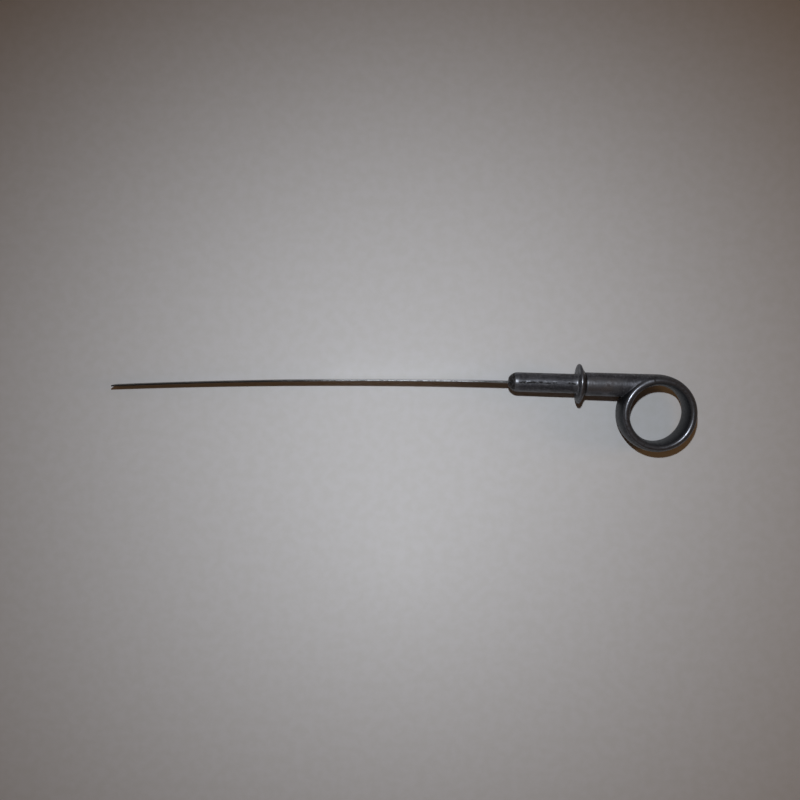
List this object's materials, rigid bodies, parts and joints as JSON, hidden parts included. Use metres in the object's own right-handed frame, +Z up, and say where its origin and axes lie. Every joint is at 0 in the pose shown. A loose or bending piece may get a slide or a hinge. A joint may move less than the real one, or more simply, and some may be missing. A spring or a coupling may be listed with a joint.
{
  "type": "engine oil dipstick",
  "caption": "Steel engine oil dipstick: a bowed flat blade crimped in the plug of a tube handle with a stop bead and a finger ring.",
  "frame": {"origin": "on the plug's axis, midway along the plug's round wall", "axes": "+X runs from the blade's tip to the finger ring, +Z is up from the surface that the dipstick lies on"},
  "size_m": [0.3016, 0.044, 0.0204],
  "materials": {
    "tube_steel": "bare drawn steel tube, darkened with age, blotchy and satin",
    "blade_steel": "bare spring steel strip, oil-stained dark towards the tip"
  },
  "bodies": {
    "root": {"handle": "tube_steel", "blade": "blade_steel"}
  },
  "joints": []
}
